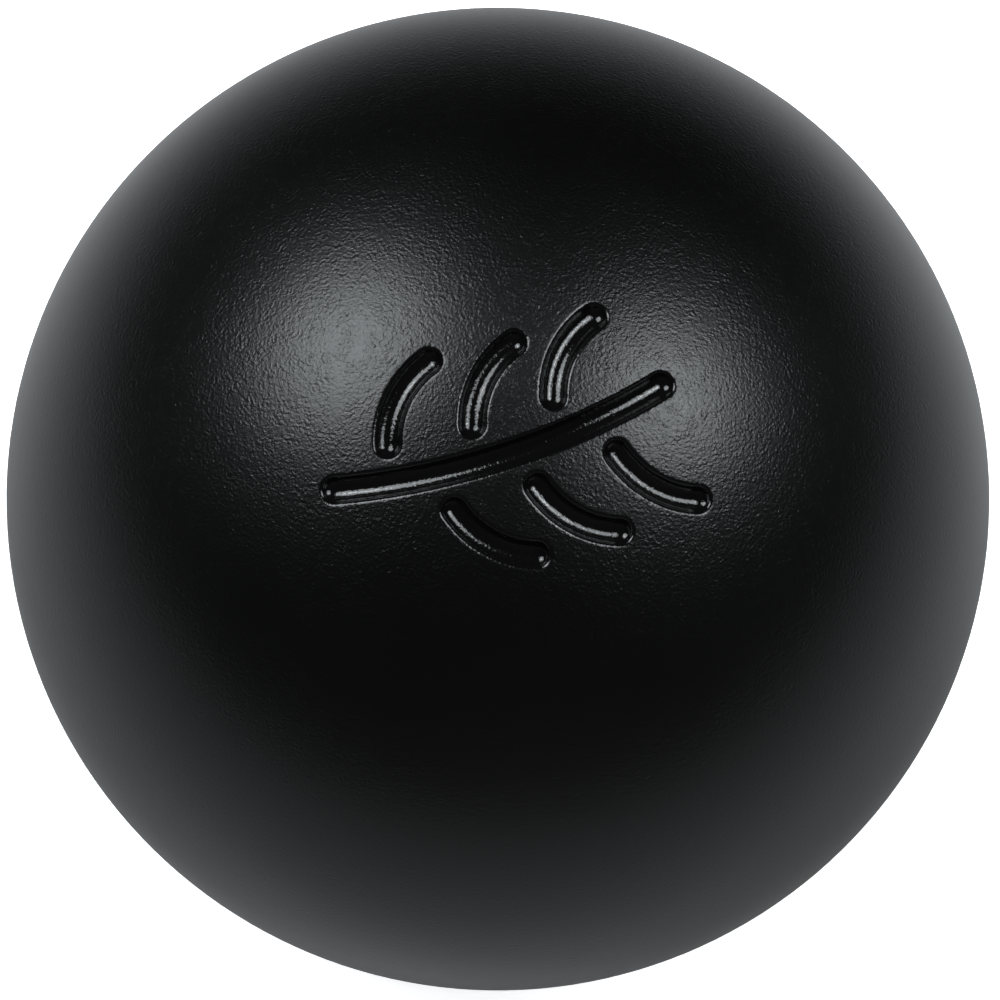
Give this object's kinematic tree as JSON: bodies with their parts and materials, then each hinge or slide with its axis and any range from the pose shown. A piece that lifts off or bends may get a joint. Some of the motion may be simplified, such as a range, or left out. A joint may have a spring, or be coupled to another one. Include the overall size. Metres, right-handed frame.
{
  "type": "petanque boule",
  "caption": "Hollow steel throwing ball: forged half shells welded round the equator, engraved with a leafy sprig and lacquered satin black.",
  "frame": {"origin": "centre of the ball", "axes": "+Z is the axis of the weld ring, towards the engraved half shell. The middle of the sprig leans from +Z towards -Y, and its stem runs roughly along +X."},
  "size_m": [0.074, 0.074, 0.074],
  "materials": {
    "forged_steel": "forged inside, turned outside",
    "weld_metal": "as welded inside, turned flush outside",
    "black_lacquer": "satin with a fine orange peel"
  },
  "bodies": {
    "root": {"upper_half_shell": "forged_steel", "lower_half_shell": "forged_steel", "root_weld_run": "weld_metal", "cap_weld_run": "weld_metal", "black_lacquer_coat": "black_lacquer"}
  },
  "joints": []
}
